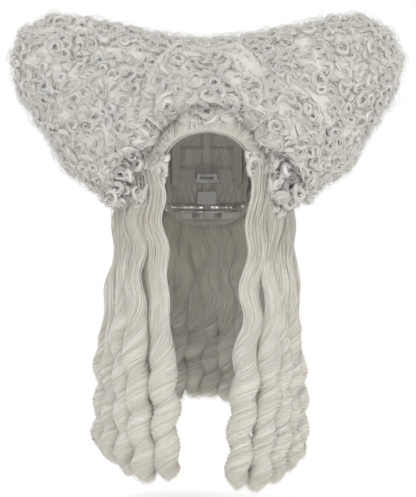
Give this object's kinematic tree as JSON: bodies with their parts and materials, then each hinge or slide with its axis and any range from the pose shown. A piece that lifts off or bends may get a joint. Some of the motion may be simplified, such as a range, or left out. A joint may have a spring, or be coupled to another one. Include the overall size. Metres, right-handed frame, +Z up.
{
  "type": "costume wig",
  "caption": "White full-bottomed masquerade wig: net cap, two wide padded horns of curled hair, and long hanging ringlets at the sides and nape.",
  "frame": {"origin": "centre of the wearer's head inside the cap, level with the brow", "axes": "+Z up, the face looks along -Y, +X to the wearer's left"},
  "size_m": [0.4992, 0.2311, 0.5922],
  "materials": {
    "curled_hair": "fine synthetic fibre in curls, soft sheen",
    "smooth_hair": "fine synthetic fibre combed smooth, soft sheen",
    "net": "open stretch mesh",
    "tape": "woven binding tape",
    "weft": "machine-sewn weft heading",
    "elastic": "ribbed elastic",
    "label": "blank satin ribbon",
    "foam": "open wadding",
    "steel": "stamped spring steel",
    "spring_wire": "drawn wire"
  },
  "bodies": {
    "root": {"crown_net": "net", "front_band": "tape", "nape_band": "tape", "left_ear_tab": "tape", "right_ear_tab": "tape", "left_tab_stay": "steel", "right_tab_stay": "steel", "centre_rib_tape": "tape", "left_rib_tape": "tape", "right_rib_tape": "tape", "crown_wefts": "weft", "left_side_weft": "weft", "right_side_weft": "weft", "nape_weft": "weft", "strap_casing": "tape", "adjuster_ladder": "elastic", "left_clip_frame": "steel", "right_clip_frame": "steel", "nape_clip_frame": "steel", "size_label": "label", "left_horn_pad": "foam", "right_horn_pad": "foam", "crown_pad": "foam", "horn_wire": "spring_wire", "hairline_roll": "smooth_hair", "front_curls": "curled_hair", "crown_curls": "curled_hair", "back_curls": "curled_hair", "left_horn_curls": "curled_hair", "right_horn_curls": "curled_hair"},
    "left_ringlet_1": {"left_ringlet_1": "curled_hair"},
    "left_ringlet_2": {"left_ringlet_2": "curled_hair"},
    "left_ringlet_3": {"left_ringlet_3": "curled_hair"},
    "left_ringlet_4": {"left_ringlet_4": "curled_hair"},
    "left_ringlet_5": {"left_ringlet_5": "curled_hair"},
    "left_ringlet_6": {"left_ringlet_6": "curled_hair"},
    "left_ringlet_7": {"left_ringlet_7": "curled_hair"},
    "right_ringlet_1": {"right_ringlet_1": "curled_hair"},
    "right_ringlet_2": {"right_ringlet_2": "curled_hair"},
    "right_ringlet_3": {"right_ringlet_3": "curled_hair"},
    "right_ringlet_4": {"right_ringlet_4": "curled_hair"},
    "right_ringlet_5": {"right_ringlet_5": "curled_hair"},
    "right_ringlet_6": {"right_ringlet_6": "curled_hair"},
    "right_ringlet_7": {"right_ringlet_7": "curled_hair"},
    "nape_ringlet_1": {"nape_ringlet_1": "curled_hair"},
    "nape_ringlet_2": {"nape_ringlet_2": "curled_hair"},
    "nape_ringlet_3": {"nape_ringlet_3": "curled_hair"},
    "nape_ringlet_4": {"nape_ringlet_4": "curled_hair"},
    "nape_ringlet_5": {"nape_ringlet_5": "curled_hair"},
    "nape_ringlet_6": {"nape_ringlet_6": "curled_hair"},
    "left_adjuster": {"left_adjuster_strap": "elastic", "left_adjuster_hook": "steel"},
    "right_adjuster": {"right_adjuster_strap": "elastic", "right_adjuster_hook": "steel"},
    "left_clip_comb": {"left_clip_comb": "steel"},
    "right_clip_comb": {"right_clip_comb": "steel"},
    "nape_clip_comb": {"nape_clip_comb": "steel"}
  },
  "joints": [
    {"name": "left_ringlet_1_swing", "type": "hinge", "parent": "root", "child": "left_ringlet_1", "pos_m": [0.06771, -0.06366, 0.00204], "axis": [-0.9091, -0.4167, 0], "range_deg": [0, 20]},
    {"name": "left_ringlet_2_swing", "type": "hinge", "parent": "root", "child": "left_ringlet_2", "pos_m": [0.07684, -0.04471, 0.00204], "axis": [-0.8808, -0.4735, 0], "range_deg": [0, 20]},
    {"name": "left_ringlet_3_swing", "type": "hinge", "parent": "root", "child": "left_ringlet_3", "pos_m": [0.08261, -0.0238, 0.00204], "axis": [-0.7772, -0.6292, 0], "range_deg": [0, 20]},
    {"name": "left_ringlet_4_swing", "type": "hinge", "parent": "root", "child": "left_ringlet_4", "pos_m": [0.08479, 0, 0.00204], "axis": [-0.565, -0.8251, 0], "range_deg": [0, 20]},
    {"name": "left_ringlet_5_swing", "type": "hinge", "parent": "root", "child": "left_ringlet_5", "pos_m": [0.0826, 0.02379, -0.00288], "axis": [-0.156, -0.9878, 0], "range_deg": [0, 20]},
    {"name": "left_ringlet_6_swing", "type": "hinge", "parent": "root", "child": "left_ringlet_6", "pos_m": [0.07473, 0.04751, -0.0166], "axis": [0.3511, -0.9363, 0], "range_deg": [0, 20]},
    {"name": "left_ringlet_7_swing", "type": "hinge", "parent": "root", "child": "left_ringlet_7", "pos_m": [0.06205, 0.0673, -0.0276], "axis": [0.6036, -0.7973, 0], "range_deg": [0, 20]},
    {"name": "right_ringlet_1_swing", "type": "hinge", "parent": "root", "child": "right_ringlet_1", "pos_m": [-0.06771, -0.06366, 0.00204], "axis": [-0.9091, 0.4167, 0], "range_deg": [0, 20]},
    {"name": "right_ringlet_2_swing", "type": "hinge", "parent": "root", "child": "right_ringlet_2", "pos_m": [-0.07684, -0.04471, 0.00204], "axis": [-0.8808, 0.4735, 0], "range_deg": [0, 20]},
    {"name": "right_ringlet_3_swing", "type": "hinge", "parent": "root", "child": "right_ringlet_3", "pos_m": [-0.08261, -0.0238, 0.00204], "axis": [-0.7772, 0.6292, 0], "range_deg": [0, 20]},
    {"name": "right_ringlet_4_swing", "type": "hinge", "parent": "root", "child": "right_ringlet_4", "pos_m": [-0.08479, 0, 0.00204], "axis": [-0.565, 0.8251, 0], "range_deg": [0, 20]},
    {"name": "right_ringlet_5_swing", "type": "hinge", "parent": "root", "child": "right_ringlet_5", "pos_m": [-0.0826, 0.02379, -0.00288], "axis": [-0.156, 0.9878, 0], "range_deg": [0, 20]},
    {"name": "right_ringlet_6_swing", "type": "hinge", "parent": "root", "child": "right_ringlet_6", "pos_m": [-0.07473, 0.04751, -0.0166], "axis": [0.3511, 0.9363, 0], "range_deg": [0, 20]},
    {"name": "right_ringlet_7_swing", "type": "hinge", "parent": "root", "child": "right_ringlet_7", "pos_m": [-0.06205, 0.0673, -0.0276], "axis": [0.6036, 0.7973, 0], "range_deg": [0, 20]},
    {"name": "nape_ringlet_1_swing", "type": "hinge", "parent": "root", "child": "nape_ringlet_1", "pos_m": [0.04335, 0.07724, -0.05115], "axis": [0.7388, -0.674, 0], "range_deg": [0, 20]},
    {"name": "nape_ringlet_2_swing", "type": "hinge", "parent": "root", "child": "nape_ringlet_2", "pos_m": [0.02831, 0.08743, -0.05115], "axis": [0.9176, -0.3974, 0], "range_deg": [0, 20]},
    {"name": "nape_ringlet_3_swing", "type": "hinge", "parent": "root", "child": "nape_ringlet_3", "pos_m": [0.01052, 0.09338, -0.05115], "axis": [0.9911, -0.1329, 0], "range_deg": [0, 20]},
    {"name": "nape_ringlet_4_swing", "type": "hinge", "parent": "root", "child": "nape_ringlet_4", "pos_m": [-0.01052, 0.09338, -0.05115], "axis": [0.9911, 0.1329, 0], "range_deg": [0, 20]},
    {"name": "nape_ringlet_5_swing", "type": "hinge", "parent": "root", "child": "nape_ringlet_5", "pos_m": [-0.02831, 0.08743, -0.05115], "axis": [0.9176, 0.3974, 0], "range_deg": [0, 20]},
    {"name": "nape_ringlet_6_swing", "type": "hinge", "parent": "root", "child": "nape_ringlet_6", "pos_m": [-0.04335, 0.07724, -0.05115], "axis": [0.7388, 0.674, 0], "range_deg": [0, 20]},
    {"name": "left_adjuster_slide", "type": "hinge", "parent": "root", "child": "left_adjuster", "pos_m": [0, 0.03046, -0.056], "axis": [0, 0, -1], "range_deg": [0, 5.5]},
    {"name": "right_adjuster_slide", "type": "hinge", "parent": "root", "child": "right_adjuster", "pos_m": [0, 0.03046, -0.056], "axis": [0, 0, 1], "range_deg": [0, 5.5]},
    {"name": "left_clip_snap", "type": "hinge", "parent": "root", "child": "left_clip_comb", "pos_m": [0.02558, -0.05956, 0.064], "axis": [-0.805, -0.5932, 0], "range_deg": [0, 25]},
    {"name": "right_clip_snap", "type": "hinge", "parent": "root", "child": "right_clip_comb", "pos_m": [-0.02558, -0.05956, 0.064], "axis": [-0.805, 0.5932, 0], "range_deg": [0, 25]},
    {"name": "nape_clip_snap", "type": "hinge", "parent": "root", "child": "nape_clip_comb", "pos_m": [0, 0.09013, -0.00904], "axis": [1, 0, 0], "range_deg": [0, 25]}
  ]
}
